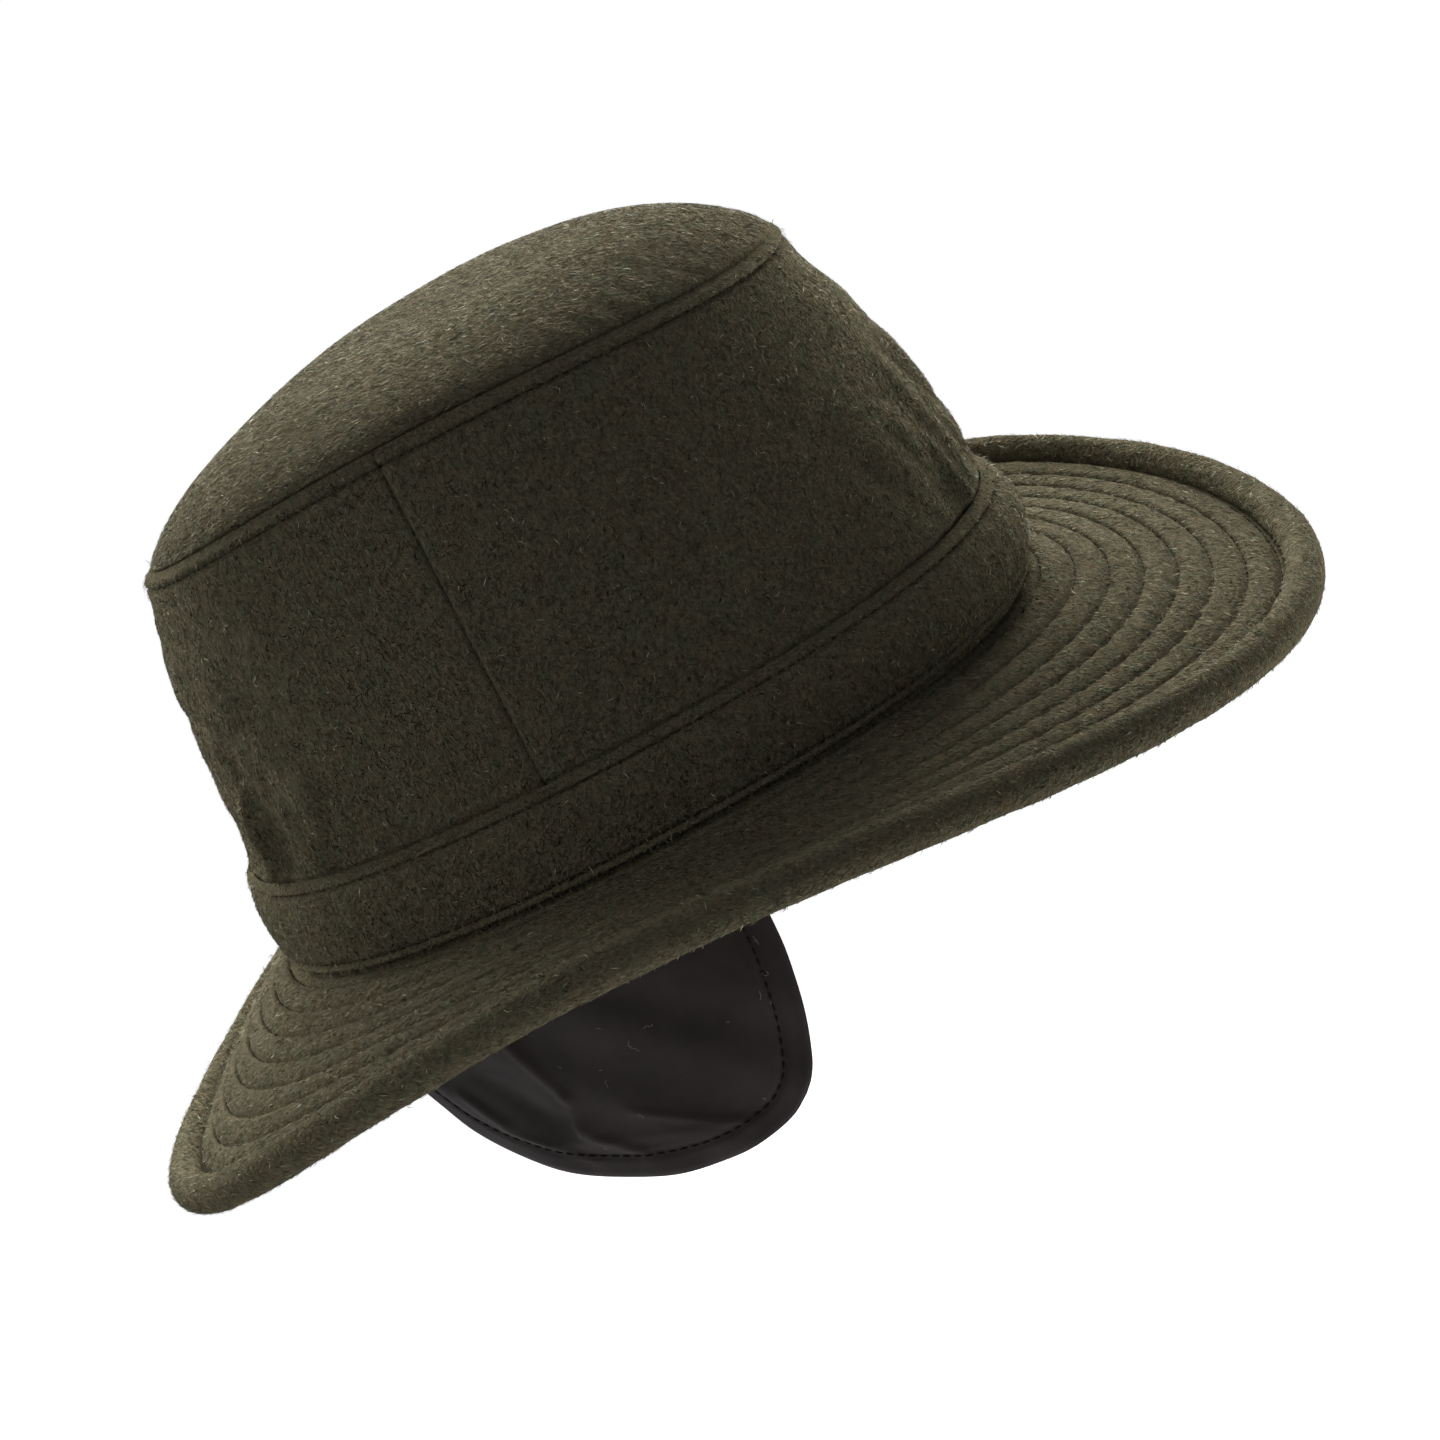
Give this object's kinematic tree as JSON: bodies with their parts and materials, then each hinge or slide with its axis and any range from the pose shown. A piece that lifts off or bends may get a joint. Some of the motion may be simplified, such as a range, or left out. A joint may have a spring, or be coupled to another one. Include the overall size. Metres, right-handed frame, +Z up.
{
  "type": "brimmed wool winter hat with ear and neck flap",
  "caption": "Brimmed winter hat of thick wool: domed tip, crown wall in panels, band, quilted brim with a rolled edge, and an ear and neck flap folded down.",
  "frame": {"origin": "centre of the head opening, level with the band's lower seam at front and back", "axes": "+X to the front of the hat, +Y to the wearer's left, +Z up to the tip"},
  "size_m": [0.3282, 0.3072, 0.1976],
  "materials": {
    "wool_melton": "thick napped wool, olive brown, matt",
    "flap_cloth": "smooth brushed cloth, brown black, matt"
  },
  "bodies": {
    "root": {"crown_tip": "wool_melton", "crown_front_panel": "wool_melton", "crown_back_panel": "wool_melton", "hat_band": "wool_melton", "brim": "wool_melton", "brim_edge_roll": "wool_melton", "ear_neck_flap": "flap_cloth"}
  },
  "joints": []
}
